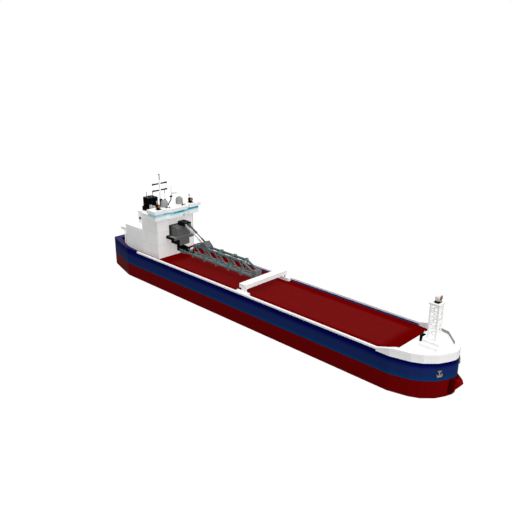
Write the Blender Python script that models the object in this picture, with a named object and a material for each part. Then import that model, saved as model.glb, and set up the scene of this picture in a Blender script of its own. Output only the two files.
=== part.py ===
"""A toy self-unloading bulk carrier on an 8 mm module: hull, deck, house, unloading boom and gantry.

Units are metres. The bow points to +X, port is +Y, +Z is up, and the origin is on the floor under midships.
"""

import math

import bmesh
import bpy
from mathutils import Matrix, Vector

# Building module
STUD = 0.008
PLATE = 0.0032
BRICK = 3 * PLATE
GAP = 0.0003

# Hull, from the stem to the transom at +Y
HALF_LENGTH = 54 * STUD
HALF_BEAM = 8 * STUD
RED_TOP = 3 * BRICK
DECK_TOP = 6 * BRICK
WALL_TOP = DECK_TOP + PLATE
RAIL_TOP = WALL_TOP + PLATE
RAIL_WIDTH = 0.5 * STUD
STEM_X = 0.42
BOW_SIDE = [(STEM_X, 0.5 * STUD), (52 * STUD, 2 * STUD), (51 * STUD, 4 * STUD), (49 * STUD, 6 * STUD),
            (47 * STUD, 7 * STUD), (43 * STUD, HALF_BEAM)]
STERN_SIDE = [(-0.342, HALF_BEAM), (-0.423, 0.042), (-HALF_LENGTH, 0.038)]
HULL_SIDE = BOW_SIDE + STERN_SIDE

# Bulb under the stem
BULB_HALF = 2 * STUD
BULB_BACK_X = 0.41
BULB_SHOULDER_X = 0.417
BULB_TIP_X = HALF_LENGTH

# Stern well with the propeller and the rudder
WELL_FRONT_X = -0.386
WELL_HALF = 0.02
WELL_TOP = 8 * PLATE
SHAFT_Z = 0.0128
SHAFT_RADIUS = 0.002
PROPELLER_X = -0.399
PROPELLER_RADIUS = 0.0106
HUB_RADIUS = 0.003
HUB_LENGTH = 0.006
BLADES = 4
RUDDER_X = -0.411
RUDDER_LEADING = 0.0035
RUDDER_TRAILING = 0.014
RUDDER_FOOT_Z = 0.002
RUDDER_HEAD_Z = 0.0238
STOCK_RADIUS = 0.0015

# Bulwark ends and the forecastle
STERN_RAIL_X = -0.305
STERN_INNER = [(STERN_RAIL_X, 0.0585), (-0.33, 0.057), (-0.356, 0.053), (-0.413, 0.031), (-52 * STUD, 0.026)]
SWEEP_X = 40 * STUD
FORECASTLE_X = 0.349
BOW_INNER = [(0.41, 0.004), (0.404, 0.0216), (0.379, 0.0476), (0.355, 0.0534), (0.337, 0.058),
             (SWEEP_X, 0.0595)]
BOW_BAND_TOP = DECK_TOP + GAP
FORECASTLE_DECK_TOP = DECK_TOP + BRICK
FORECASTLE_TOP = DECK_TOP + 1.5 * BRICK

# Fore mast
MAST_STEP_X = 0.3815
TOWER_X = 0.379
TOWER_HALF = 0.0075
TOWER_FOOT = FORECASTLE_DECK_TOP + 3 * PLATE
TOWER_TOP = TOWER_FOOT + 6 * BRICK
TOWER_BAYS = 6
TOWER_POST = 0.0024
TOWER_BRACE = 0.0014
CORNERS = [(-1, -1), (1, -1), (1, 1), (-1, 1)]

# Deck lamp and anchors
LAMP_X = 0.36
LAMP_Y = -0.003
LAMP_RADIUS = 0.0023
ANCHOR_X = 0.409
ANCHOR_Y = 0.03
ANCHOR_Z = 0.041

# House
HOUSE_FRONT_X = -0.246
HOUSE_BACK_X = -0.301
AFT_HOUSE_BACK_X = -0.366
HOUSE_HALF = 6 * STUD
PANEL = 0.0045
HOUSE_WALL_TOP = DECK_TOP + 9 * BRICK
AFT_HOUSE_TOP = DECK_TOP + 17 * PLATE
CASING_BACK_X = -0.349
CASING_HALF = 3 * STUD
CASING_TOP = AFT_HOUSE_TOP + 3 * BRICK

# Bridge: one side of its front, from the middle to the wing
BRIDGE_FLOOR_TOP = HOUSE_WALL_TOP + 2 * PLATE
GLASS_TOP = BRIDGE_FLOOR_TOP + BRICK - 3 * GAP
BRIDGE_TOP = BRIDGE_FLOOR_TOP + 5 * PLATE
BRIDGE_BACK_X = -0.262
BRIDGE_FRONT = [(-0.232, 0.02), (-0.24, 0.028), (-0.24, 0.0295), (-0.2365, 0.0295), (-0.2365, 0.058)]
ROOF_FRONT = [(-0.228, 0.0215), (-0.2365, 0.0295), (-0.2365, 0.031), (-0.233, 0.031), (-0.233, 0.0615)]
GLASS = 0.0022

# Boat deck behind the house
BOAT_DECK_BACK_X = -0.385
BOAT_DECK_LOW = 12 * STUD
BOAT_DECK_TOP = 0.102
BOAT_WALL_X = -0.38
BOAT_WALL_HALF = 0.036
BOAT_POST_X = -0.383
BOAT_POST_Y = 0.0395
BOAT_POST_RADIUS = 0.0013

# Funnel, main mast and bridge roof fittings
FUNNEL_FRONT_X = -0.322
FUNNEL_BACK_X = -0.344
FUNNEL_HALF = 0.012
FUNNEL_SKIRT = 0.002
FUNNEL_SKIRT_TOP = CASING_TOP + BRICK
FUNNEL_TOP = 0.171
MAST_X = -0.296
MAST_TOP = 0.2286
MAST_RADIUS = 0.0018
MAST_POLE_TOP = 0.2145
CROSSBAR_HALF = 0.0195
CROSSBAR_RADIUS = 0.001
CROSSBAR_LEVELS = (0.1925, 0.207)
DOME_X = -0.255
DOME_Y = 0.02
DOME_RADIUS = 0.0078
WING_LIGHT_X = -0.246
WING_LIGHT_Y = 0.043

# Hopper on the house front, and the slewing column through it
SLEW_X = -0.222
HOPPER_BACK_X = HOUSE_FRONT_X + GAP
HOPPER_FRONT_X = -0.218
HOPPER_FOOT_X = -0.2165
HOPPER_HALF = 0.0177
HOPPER_FOOT_HALF = 0.0133
HOPPER_LOW = 0.0866
HOPPER_STEP = 0.101
HOPPER_TOP = 0.1273
HOPPER_SLOPE = 0.0045
FLANGE_FRONT_X = -0.2175
FLANGE_HALF = 0.0265
FLANGE_LOW = 0.0996
FLANGE_TOP = 0.1056
COLUMN_RADIUS = 0.003
PLAY = 0.0004
OVERCUT = 0.01

# Luffing gear, in the x and z plane
LUFF_X = -0.212
LUFF_Z = 0.0732
CYLINDER_FOOT_X = -0.206
CYLINDER_FOOT_Z = 0.133
ROD_PIN_X = -0.151
ROD_PIN_Z = 0.1045
CYLINDER_Y = 0.0041
PIN_RADIUS = 0.0012
ROD_EYE_PLAY = 0.0008
EYE_RADIUS = 0.0029
EYE_HALF = 0.002
LUG_INNER = 0.0068
LUG_OUTER = 0.0084
LUG_RADIUS = 0.0033
BARREL_END = 0.0285
BARREL_RADIUS = 0.0022
BARREL_BORE = 0.0017
BORE_START = 0.005
ROD_RADIUS = 0.0012
ROD_START = 0.0225

# Turret and boom
TURRET_BACK_X = -0.2335
TURRET_NECK_X = -0.2272
TURRET_FRONT_X = -0.2166
TURRET_HALF = 0.0078
TURRET_LOW = 0.0713
TURRET_TOP = 0.0838
NECK_HALF = 0.004
TONGUE_HALF = 0.0042
BRACKET_BACK_X = -0.2262
BRACKET_FRONT_X = -0.2115
BRACKET_HEIGHT = 0.0108
HOOD_FRONT_X = -0.202
HOOD_THICKNESS = 0.0023
CHEEK_BACK_X = -0.2248
CHEEK_FRONT_X = -0.2075
CHEEK_INNER = 0.0051
CHEEK_LOW = 0.0695
CHEEK_TOP = 0.0805
BOOM_HALF = STUD
CHORD = 0.0032
BOOM_HIGH_Z = 0.097
BAY = 0.0364
BAYS = 5
FIRST_FOOT_X = -0.1815
LEAN = 0.006
UPPER_CHORD_BACK_X = FIRST_FOOT_X + LEAN
UPPER_CHORD_FRONT_X = UPPER_CHORD_BACK_X + BAY * (BAYS - 1)
LATTICE = 0.002
BOOM_FOOT_LENGTH = 0.005
BOOM_FOOT_DROP = 0.0036
HEAD_BACK_X = -0.001
HEAD_FRONT_X = 0.007
HEAD_LOW = 0.0715
HEAD_TOP = 0.087
SADDLE_BACK_X = -0.165
SADDLE_FRONT_X = -0.133
WEDGE_BACK_X = -0.1465
WEDGE_TOP = 0.1106

# Gantry
GANTRY_X = 0.021
BEAM_HALF_X = 0.0085
BEAM_HALF_Y = 7 * STUD
BEAM_LOW = 0.0704
BEAM_TOP = 0.0784
GANTRY_POST_X = (0.0198, 0.0266)
GANTRY_POST_HALF = 0.002
GANTRY_POST_INNER = 0.0525
GANTRY_POST_OUTER = 0.0557
GANTRY_FOOT_TOP = DECK_TOP + 2 * PLATE
GANTRY_FOOT_HALF_X = 0.0155
GANTRY_FOOT_INNER = 0.052
GANTRY_FOOT_OUTER = 0.0595


def clear_scene():
    for thing in list(bpy.data.objects):
        bpy.data.objects.remove(thing)


def material(name, colour, roughness=0.35, metallic=0.0):
    """A Principled material of one colour."""
    made = bpy.data.materials.new(name)
    made.use_nodes = True
    shader = made.node_tree.nodes["Principled BSDF"]
    shader.inputs["Base Color"].default_value = (*colour, 1)
    shader.inputs["Roughness"].default_value = roughness
    shader.inputs["Metallic"].default_value = metallic
    return made


def add(name, shape, finish, origin=(0, 0, 0)):
    """An object from a shape in world places, with its origin at the given point."""
    mesh = bpy.data.meshes.new(name)
    shape.transform(Matrix.Translation(-Vector(origin)))
    shape.to_mesh(mesh)
    shape.free()
    mesh.materials.append(finish)
    thing = bpy.data.objects.new(name, mesh)
    thing.location = origin
    bpy.context.scene.collection.objects.link(thing)
    return thing


def add_round(name, shape, finish, origin=(0, 0, 0)):
    """The same, with its round faces shaded smooth."""
    thing = add(name, shape, finish, origin)
    thing.data.shade_smooth()
    thing.data.set_sharp_from_angle(angle=math.radians(35))


def skin(shape, rings):
    """Closes a solid over two rings of vertices."""
    shape.faces.new(rings[0])
    shape.faces.new(rings[1])
    for i in range(len(rings[0])):
        j = (i + 1) % len(rings[0])
        shape.faces.new((rings[0][i], rings[0][j], rings[1][j], rings[1][i]))
    bmesh.ops.recalc_face_normals(shape, faces=shape.faces)
    return shape


def prism(outline, low, high, axis="Z"):
    """A straight solid over an outline: (x, y) along Z or (x, z) along Y."""
    shape = bmesh.new()
    rings = []
    for level in (low, high):
        points = [(a, b, level) if axis == "Z" else (a, level, b) for a, b in outline]
        rings.append([shape.verts.new(point) for point in points])
    return skin(shape, rings)


def block(x, y, z):
    """A box from three (low, high) pairs."""
    return prism([(x[0], y[0]), (x[1], y[0]), (x[1], y[1]), (x[0], y[1])], z[0], z[1])


def span(sign, first, second):
    """Two distances from the centreline as a (low, high) pair on one side of it."""
    return tuple(sorted((sign * first, sign * second)))


def round_bar(start, end, radius, end_radius=None, sides=16):
    """A round bar or cone from start to end."""
    start = Vector(start)
    end = Vector(end)
    shape = bmesh.new()
    top = radius if end_radius is None else end_radius
    bmesh.ops.create_cone(shape, cap_ends=True, segments=sides, radius1=radius, radius2=top,
                          depth=(end - start).length)
    turn = (end - start).to_track_quat("Z", "Y").to_matrix().to_4x4()
    shape.transform(Matrix.Translation((start + end) / 2) @ turn)
    return shape


def flat_bar(start, end, width, height=None):
    """A bar from start to end, its width level where the bar isn't upright."""
    start = Vector(start)
    end = Vector(end)
    height = width if height is None else height
    along = (end - start).normalized()
    side = along.cross(Vector((0, 0, 1)))
    side = Vector((1, 0, 0)) if side.length < 0.001 else side.normalized()
    up = side.cross(along)
    shape = bmesh.new()
    rings = [[shape.verts.new(point + side * a * width / 2 + up * b * height / 2) for a, b in CORNERS]
             for point in (start, end)]
    return skin(shape, rings)


def convex(points):
    """The convex solid around some points."""
    shape = bmesh.new()
    for point in points:
        shape.verts.new(point)
    bmesh.ops.convex_hull(shape, input=shape.verts)
    bmesh.ops.delete(shape, geom=[v for v in shape.verts if not v.link_faces], context="VERTS")
    bmesh.ops.recalc_face_normals(shape, faces=shape.faces)
    return shape


def boolean(first, others, operation):
    """The union or difference of one shape and others, as a new shape."""
    plain = bpy.data.materials[0]
    base = add("base", first, plain)
    group = bpy.data.collections.new("operands")
    bpy.context.scene.collection.children.link(group)
    for other in others:
        operand = add("operand", other, plain)
        bpy.context.scene.collection.objects.unlink(operand)
        group.objects.link(operand)
    change = base.modifiers.new("change", "BOOLEAN")
    change.operation = operation
    change.solver = "EXACT"
    change.operand_type = "COLLECTION"
    change.collection = group
    bpy.context.view_layer.update()
    result = bmesh.new()
    result.from_object(base, bpy.context.evaluated_depsgraph_get())
    for thing in [base, *group.objects]:
        bpy.data.objects.remove(thing)
    bpy.data.collections.remove(group)
    return result


def joined(first, *others):
    return boolean(first, others, "UNION")


def cut(first, *others):
    return boolean(first, others, "DIFFERENCE")


def mirrored(side):
    """A closed outline from the points of its +Y side."""
    return side + [(x, -y) for x, y in reversed(side)]


def y_at(side, x):
    """The half breadth of a side at a station."""
    for (x0, y0), (x1, y1) in zip(side, side[1:]):
        if x1 <= x <= x0:
            return y0 + (y1 - y0) * (x - x0) / (x1 - x0)
    return side[-1][1]


def stretch(side, low_x, high_x):
    """The part of a side between two stations, from the bow to the stern."""
    points = [(x, y) for x, y in side if low_x < x < high_x]
    if high_x < side[0][0]:
        points.insert(0, (high_x, y_at(side, high_x)))
    if low_x > side[-1][0]:
        points.append((low_x, y_at(side, low_x)))
    return points


def build_hull(finish):
    red = prism(mirrored(HULL_SIDE), 0, RED_TOP - GAP)
    well = block((-HALF_LENGTH - STUD, WELL_FRONT_X), (-WELL_HALF, WELL_HALF), (-STUD, WELL_TOP))
    boss = round_bar((WELL_FRONT_X + 0.002, 0, SHAFT_Z), (WELL_FRONT_X - 0.0055, 0, SHAFT_Z),
                     0.0045, 0.0036, 20)
    bore = round_bar((WELL_FRONT_X + 0.0015, 0, SHAFT_Z), (WELL_FRONT_X - 0.02, 0, SHAFT_Z),
                     SHAFT_RADIUS + PLAY)
    stock = round_bar((RUDDER_X, 0, WELL_TOP - 0.002), (RUDDER_X, 0, WELL_TOP + 0.0022), STOCK_RADIUS + PLAY)
    hull = cut(joined(cut(red, well), boss), bore, stock)
    add("hull_lower", hull, finish["red"])
    add("hull_upper", prism(mirrored(HULL_SIDE), RED_TOP, DECK_TOP - PLATE - GAP), finish["navy"])
    bow = [(x + 1.4 * GAP, y) for x, y in stretch(HULL_SIDE, 0.38, 1)]
    points = [(BULB_BACK_X, BULB_HALF, 0.0006), (BULB_BACK_X, BULB_HALF, 0.0293),
              (BULB_SHOULDER_X, 0.012, 0.0293), (BULB_TIP_X - 0.002, 0.005, 0.025),
              (BULB_TIP_X, 0.005, 0.019), (BULB_TIP_X - 0.004, 0.009, 0.014), (BULB_SHOULDER_X, 0.014, 0.0006)]
    bulb = convex([(x, sign * y, z) for x, y, z in points for sign in (-1, 1)])
    add("bulbous_bow", cut(bulb, prism(mirrored(bow), -0.01, 0.05)), finish["red"])


def build_bulwarks(finish):
    along = (STERN_RAIL_X + GAP, SWEEP_X - GAP)
    for name, sign in (("starboard", -1), ("port", 1)):
        across = span(sign, HALF_BEAM - RAIL_WIDTH, HALF_BEAM)
        add("bulwark_" + name, block(along, across, (DECK_TOP - PLATE, WALL_TOP - GAP)), finish["navy"])
        add("rail_" + name, block(along, across, (WALL_TOP, RAIL_TOP)), finish["white"])
    stern = prism(mirrored(stretch(HULL_SIDE, -1, STERN_RAIL_X)), DECK_TOP - PLATE, RAIL_TOP)
    space = [(STERN_RAIL_X + STUD, STERN_INNER[0][1])] + STERN_INNER
    add("stern_bulwark", cut(stern, prism(mirrored(space), 0, 0.1)), finish["navy"])


def deck_side():
    """The deck's edge at +Y, inside the bulwarks."""
    edge = HALF_BEAM - RAIL_WIDTH - GAP
    bow = [(x, y - GAP) for x, y in stretch(BOW_INNER, SWEEP_X, FORECASTLE_X - GAP)]
    stern = [(x + GAP, y - GAP) for x, y in STERN_INNER]
    bow.append((SWEEP_X, BOW_INNER[-1][1] - GAP))
    return bow + [(SWEEP_X - GAP, edge), (STERN_RAIL_X + 2 * GAP, edge)] + stern


def build_deck(finish):
    add("deck", prism(mirrored(deck_side()), DECK_TOP - PLATE, DECK_TOP), finish["deck"])


def build_forecastle(finish):
    outer = stretch(HULL_SIDE, SWEEP_X, 1)
    space = mirrored(BOW_INNER + [(SWEEP_X - STUD, BOW_INNER[-1][1])])
    band = prism(mirrored(outer), DECK_TOP - PLATE, BOW_BAND_TOP)
    add("bow_band", cut(band, prism(space, 0, 0.1)), finish["navy"])
    rail = prism(mirrored(outer), BOW_BAND_TOP + GAP, FORECASTLE_TOP)
    above = [(SWEEP_X - STUD, RAIL_TOP - 0.0022), (SWEEP_X, RAIL_TOP), (FORECASTLE_X, FORECASTLE_TOP),
             (FORECASTLE_X, 0.1), (SWEEP_X - STUD, 0.1)]
    sweep = prism(above, -0.1, 0.1, "Y")
    add("forecastle_rail", cut(rail, prism(space, 0, 0.1), sweep), finish["white"])
    inside = [(x - GAP, y - GAP) for x, y in stretch(BOW_INNER, FORECASTLE_X, 1)]
    add("forecastle_deck", prism(mirrored(inside), DECK_TOP - PLATE, FORECASTLE_DECK_TOP), finish["white"])


def tower_bars():
    """The fore mast's posts, rings and crossing braces."""
    reach = TOWER_HALF - TOWER_POST / 2
    places = [(TOWER_X + a * reach, b * reach) for a, b in CORNERS]
    sides = list(zip(places, places[1:] + places[:1]))
    rise = (TOWER_TOP - TOWER_FOOT) / TOWER_BAYS
    bars = [flat_bar((x, y, TOWER_FOOT), (x, y, TOWER_TOP), TOWER_POST) for x, y in places]
    for level in range(TOWER_BAYS + 1):
        z = TOWER_FOOT + TOWER_BRACE / 2 + (rise - TOWER_BRACE / TOWER_BAYS) * level
        bars += [flat_bar((*start, z), (*end, z), TOWER_BRACE) for start, end in sides]
    for bay in range(TOWER_BAYS):
        low = TOWER_FOOT + rise * bay + TOWER_BRACE
        high = low + rise - 2 * TOWER_BRACE
        for k, (start, end) in enumerate(sides):
            first, last = (low, high) if (k + bay) % 2 else (high, low)
            bars.append(flat_bar((*start, first), (*end, last), 0.9 * TOWER_BRACE))
    return bars


def build_foremast(finish):
    foot = FORECASTLE_DECK_TOP + GAP
    lower = block((MAST_STEP_X - 0.0155, MAST_STEP_X + 0.0165), (-0.02, 0.02), (foot, foot + 0.0048))
    upper = block((MAST_STEP_X - 0.0145, MAST_STEP_X + 0.0145), (-0.0125, 0.0125),
                  (foot + 0.002, TOWER_FOOT - GAP))
    add("foremast_step", joined(lower, upper), finish["white"])
    bars = tower_bars()
    cap_half = TOWER_HALF + 0.0013
    cap_top = TOWER_TOP + 0.0022
    cap = block((TOWER_X - cap_half, TOWER_X + cap_half), (-cap_half, cap_half), (TOWER_TOP - 0.001, cap_top))
    add("foremast", joined(bars[0], *bars[1:], cap), finish["white"])
    add_round("fore_searchlight", searchlight((TOWER_X + 0.001, 0, cap_top + GAP), 0.0052), finish["black"])


def searchlight(foot, radius):
    """A round lamp looking to the bow, on a neck, a yoke and a foot plate."""
    x, y, z = foot
    centre = z + 0.0026 + radius
    plate = block((x - 0.004, x + 0.004), (y - radius, y + radius), (z, z + 0.0016))
    yoke = block((x - 0.0045, x - 0.0025), (y - 0.0016, y + 0.0016), (z + 0.001, centre))
    neck = block((x - 0.0015, x + 0.0015), (y - 0.002, y + 0.002), (z + 0.001, centre - 0.5 * radius))
    drum = round_bar((x - 0.0035, y, centre), (x + 0.0045, y, centre), 0.8 * radius, radius, 20)
    return joined(plate, yoke, neck, drum)


def anchor():
    """A stockless anchor lying in the x and z plane, its back to -Y."""
    shank = block((-0.0008, 0.0008), (GAP, 0.0016), (-0.003, 0.0052))
    stock = block((-0.0032, 0.0032), (GAP, 0.0013), (0.0036, 0.0048))
    crown = block((-0.0042, 0.0042), (GAP, 0.0019), (-0.0046, -0.0028))
    flukes = [prism([(s * 0.0049, 0.0008), (s * 0.0024, -0.003), (s * 0.0042, -0.0038)], GAP, 0.0022, "Y")
              for s in (-1, 1)]
    return joined(shank, stock, crown, *flukes)


def build_bow_fittings(finish):
    foot = FORECASTLE_DECK_TOP + GAP
    tip = Vector((LAMP_X + 0.0042, LAMP_Y + 0.0042, foot + 0.0125))
    post = round_bar((LAMP_X, LAMP_Y, foot), (LAMP_X, LAMP_Y, foot + 0.0095), LAMP_RADIUS)
    arm = round_bar((LAMP_X + 0.0003, LAMP_Y, foot + 0.0085), tip, 0.95 * LAMP_RADIUS)
    lens_foot = tip - Vector((0.001, 0.001, 0.001))
    lens = round_bar(lens_foot, lens_foot + Vector((0, 0, 0.0052)), 0.85 * LAMP_RADIUS, 0.0003, 12)
    add_round("deck_lamp", joined(post, arm, lens), finish["black"])
    bow_normal = math.atan2(STUD, 2 * STUD)
    for name, sign in (("starboard", -1), ("port", 1)):
        piece = anchor()
        turn = Matrix.Rotation(sign * bow_normal - math.pi / 2, 4, "Z")
        piece.transform(Matrix.Translation((ANCHOR_X, sign * ANCHOR_Y, ANCHOR_Z)) @ turn)
        add("anchor_" + name, piece, finish["silver"])


def build_house(finish):
    upright = (DECK_TOP + GAP, HOUSE_WALL_TOP - GAP)
    across = (-HOUSE_HALF, HOUSE_HALF)
    add("house_front", block((HOUSE_FRONT_X - PANEL, HOUSE_FRONT_X), across, upright), finish["white"])
    add("house_back", block((HOUSE_BACK_X, HOUSE_BACK_X + PANEL), across, upright), finish["white"])
    aft_upright = (DECK_TOP + GAP, AFT_HOUSE_TOP - PLATE - GAP)
    inner = HOUSE_HALF - PANEL
    along = (HOUSE_BACK_X + PANEL + GAP, HOUSE_FRONT_X - PANEL - GAP)
    aft_along = (AFT_HOUSE_BACK_X, HOUSE_BACK_X - GAP)
    for name, sign in (("starboard", -1), ("port", 1)):
        side = span(sign, inner, HOUSE_HALF)
        add("house_side_" + name, block(along, side, upright), finish["white"])
        add("aft_house_side_" + name, block(aft_along, side, aft_upright), finish["white"])
    back = block((AFT_HOUSE_BACK_X, AFT_HOUSE_BACK_X + PANEL), (GAP - inner, inner - GAP), aft_upright)
    add("aft_house_back", back, finish["white"])
    add("aft_house_roof", block(aft_along, across, (AFT_HOUSE_TOP - PLATE, AFT_HOUSE_TOP)), finish["white"])
    casing = block((CASING_BACK_X, HOUSE_BACK_X - GAP), (-CASING_HALF, CASING_HALF),
                   (AFT_HOUSE_TOP + GAP, CASING_TOP))
    add("engine_casing", casing, finish["white"])


def build_boat_deck(finish):
    foot = DECK_TOP + GAP
    slab = block((BOAT_DECK_BACK_X, AFT_HOUSE_BACK_X - GAP), (-HOUSE_HALF, HOUSE_HALF),
                 (BOAT_DECK_LOW, BOAT_DECK_TOP))
    screen = block((BOAT_WALL_X - 0.002, BOAT_WALL_X + 0.002), (-BOAT_WALL_HALF, BOAT_WALL_HALF),
                   (foot, BOAT_DECK_LOW + 0.002))
    posts = [round_bar((BOAT_POST_X, s * BOAT_POST_Y, foot), (BOAT_POST_X, s * BOAT_POST_Y, BOAT_DECK_LOW + 0.002),
                       BOAT_POST_RADIUS, sides=10) for s in (-1, 1)]
    add("boat_deck", joined(slab, screen, *posts), finish["white"])


def build_bridge(finish):
    wing = BRIDGE_FRONT[-1][1]
    side = BRIDGE_FRONT + [(BRIDGE_BACK_X, wing)]
    floor = prism(mirrored(side + [(BRIDGE_BACK_X, HOUSE_HALF), (HOUSE_BACK_X, HOUSE_HALF)]),
                  HOUSE_WALL_TOP, BRIDGE_FLOOR_TOP)
    wall_half = wing - GLASS - GAP
    wall = block((BRIDGE_BACK_X, BRIDGE_BACK_X + 0.004), (-wall_half, wall_half),
                 (BRIDGE_FLOOR_TOP - 0.002, GLASS_TOP))
    add("bridge_floor", joined(floor, wall), finish["white"])
    (front_x, front_y), (step_x, step_y), (_, notch_y), (wing_x, _), _ = BRIDGE_FRONT
    inner = [(front_x - GLASS, front_y - 0.4 * GLASS), (step_x - GLASS, step_y - 0.4 * GLASS),
             (step_x - GLASS, notch_y + GLASS), (wing_x - GLASS, notch_y + GLASS), (wing_x - GLASS, wing - GLASS),
             (BRIDGE_BACK_X - STUD, wing - GLASS)]
    panes = prism(mirrored(side), BRIDGE_FLOOR_TOP + GAP, GLASS_TOP)
    add("bridge_windows", cut(panes, prism(mirrored(inner), 0.1, 0.2)), finish["glass"])
    roof = ROOF_FRONT + [(BRIDGE_BACK_X, ROOF_FRONT[-1][1])]
    add("bridge_roof", prism(mirrored(roof), GLASS_TOP + GAP, BRIDGE_TOP), finish["white"])


def build_funnel(finish):
    skirt_half = FUNNEL_HALF + FUNNEL_SKIRT
    skirt = block((FUNNEL_BACK_X - FUNNEL_SKIRT, FUNNEL_FRONT_X + FUNNEL_SKIRT), (-skirt_half, skirt_half),
                  (CASING_TOP + GAP, FUNNEL_SKIRT_TOP))
    stack = block((FUNNEL_BACK_X, FUNNEL_FRONT_X), (-FUNNEL_HALF, FUNNEL_HALF),
                  (FUNNEL_SKIRT_TOP - 0.002, FUNNEL_TOP))
    low = FUNNEL_TOP - 0.002
    pipes = [round_bar((x, y, low), (x, y, FUNNEL_TOP + 0.0018), 0.0016, sides=12)
             for x, y in ((-0.338, 0), (-0.328, -0.004), (-0.328, 0.004))]
    whip = round_bar((-0.334, -0.009, low), (-0.334, -0.009, FUNNEL_TOP + 0.0125), 0.0006, sides=8)
    add("funnel", joined(skirt, stack, *pipes, whip), finish["black"])


def build_main_mast(finish):
    foot = BRIDGE_FLOOR_TOP + GAP
    base = round_bar((MAST_X, 0, foot), (MAST_X, 0, foot + PLATE), 0.0036)
    parts = [round_bar((MAST_X, 0, foot + 0.001), (MAST_X, 0, MAST_POLE_TOP), MAST_RADIUS, 0.85 * MAST_RADIUS)]
    for level in CROSSBAR_LEVELS:
        parts.append(round_bar((MAST_X, -CROSSBAR_HALF, level), (MAST_X, CROSSBAR_HALF, level),
                               CROSSBAR_RADIUS, sides=10))
        for sign in (-1, 1):
            y = sign * (CROSSBAR_HALF - 0.0008)
            parts.append(round_bar((MAST_X, y, level - 0.0022), (MAST_X, y, level + 0.0016), 0.0009, sides=8))
    parts.append(round_bar((MAST_X, 0, MAST_POLE_TOP - 0.002), (MAST_X, 0, MAST_TOP), 0.0009, sides=10))
    parts.append(block((MAST_X - 0.0006, MAST_X + 0.0006), (-0.003, 0.0005),
                       (MAST_TOP - 0.0025, MAST_TOP - 0.0012)))
    add_round("main_mast", joined(base, *parts), finish["white"])


def dome():
    """A round cover: a short drum under half a ball."""
    sides = 24
    rings = [(DOME_RADIUS, 0)]
    for k in range(6):
        angle = math.radians(15 * k)
        rings.append((DOME_RADIUS * math.cos(angle), DOME_RADIUS + DOME_RADIUS * math.sin(angle)))
    turns = [2 * math.pi * i / sides for i in range(sides)]
    points = [(radius * math.cos(a), radius * math.sin(a), z) for radius, z in rings for a in turns]
    return convex(points + [(0, 0, 2 * DOME_RADIUS)])


def build_bridge_fittings(finish):
    foot = BRIDGE_TOP + GAP
    for name, sign in (("starboard", -1), ("port", 1)):
        cover = dome()
        cover.transform(Matrix.Translation((DOME_X, sign * DOME_Y, foot)))
        add_round("dome_" + name, cover, finish["silver"])
        lamp = searchlight((WING_LIGHT_X, sign * WING_LIGHT_Y, foot), 0.0042)
        add_round("wing_searchlight_" + name, lamp, finish["black"])


def build_hopper(finish):
    side = [(HOPPER_BACK_X, HOPPER_STEP), (HOPPER_BACK_X, HOPPER_TOP),
            (HOPPER_FRONT_X - HOPPER_SLOPE, HOPPER_TOP), (HOPPER_FRONT_X, HOPPER_TOP - HOPPER_SLOPE),
            (HOPPER_FRONT_X, HOPPER_STEP)]
    upper = prism(side, -HOPPER_HALF, HOPPER_HALF, "Y")
    flange = block((HOPPER_BACK_X, FLANGE_FRONT_X), (-FLANGE_HALF, FLANGE_HALF), (FLANGE_LOW, FLANGE_TOP))
    lower = block((HOPPER_BACK_X, HOPPER_FOOT_X), (-HOPPER_FOOT_HALF, HOPPER_FOOT_HALF),
                  (HOPPER_LOW, FLANGE_LOW + 0.0006))
    bore = round_bar((SLEW_X, 0, HOPPER_LOW - OVERCUT), (SLEW_X, 0, HOPPER_TOP + OVERCUT),
                     COLUMN_RADIUS + PLAY, sides=24)
    add("hopper", cut(joined(upper, flange, lower), bore), finish["grey"])


def lug(x, z, across, foot):
    """A plate with a round end at (x, z), tapering back to its foot points."""
    turns = [2 * math.pi * i / 24 for i in range(24)]
    ring = [(x + LUG_RADIUS * math.cos(a), z + LUG_RADIUS * math.sin(a)) for a in turns]
    return convex([(px, y, pz) for px, pz in foot + ring for y in across])


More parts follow.
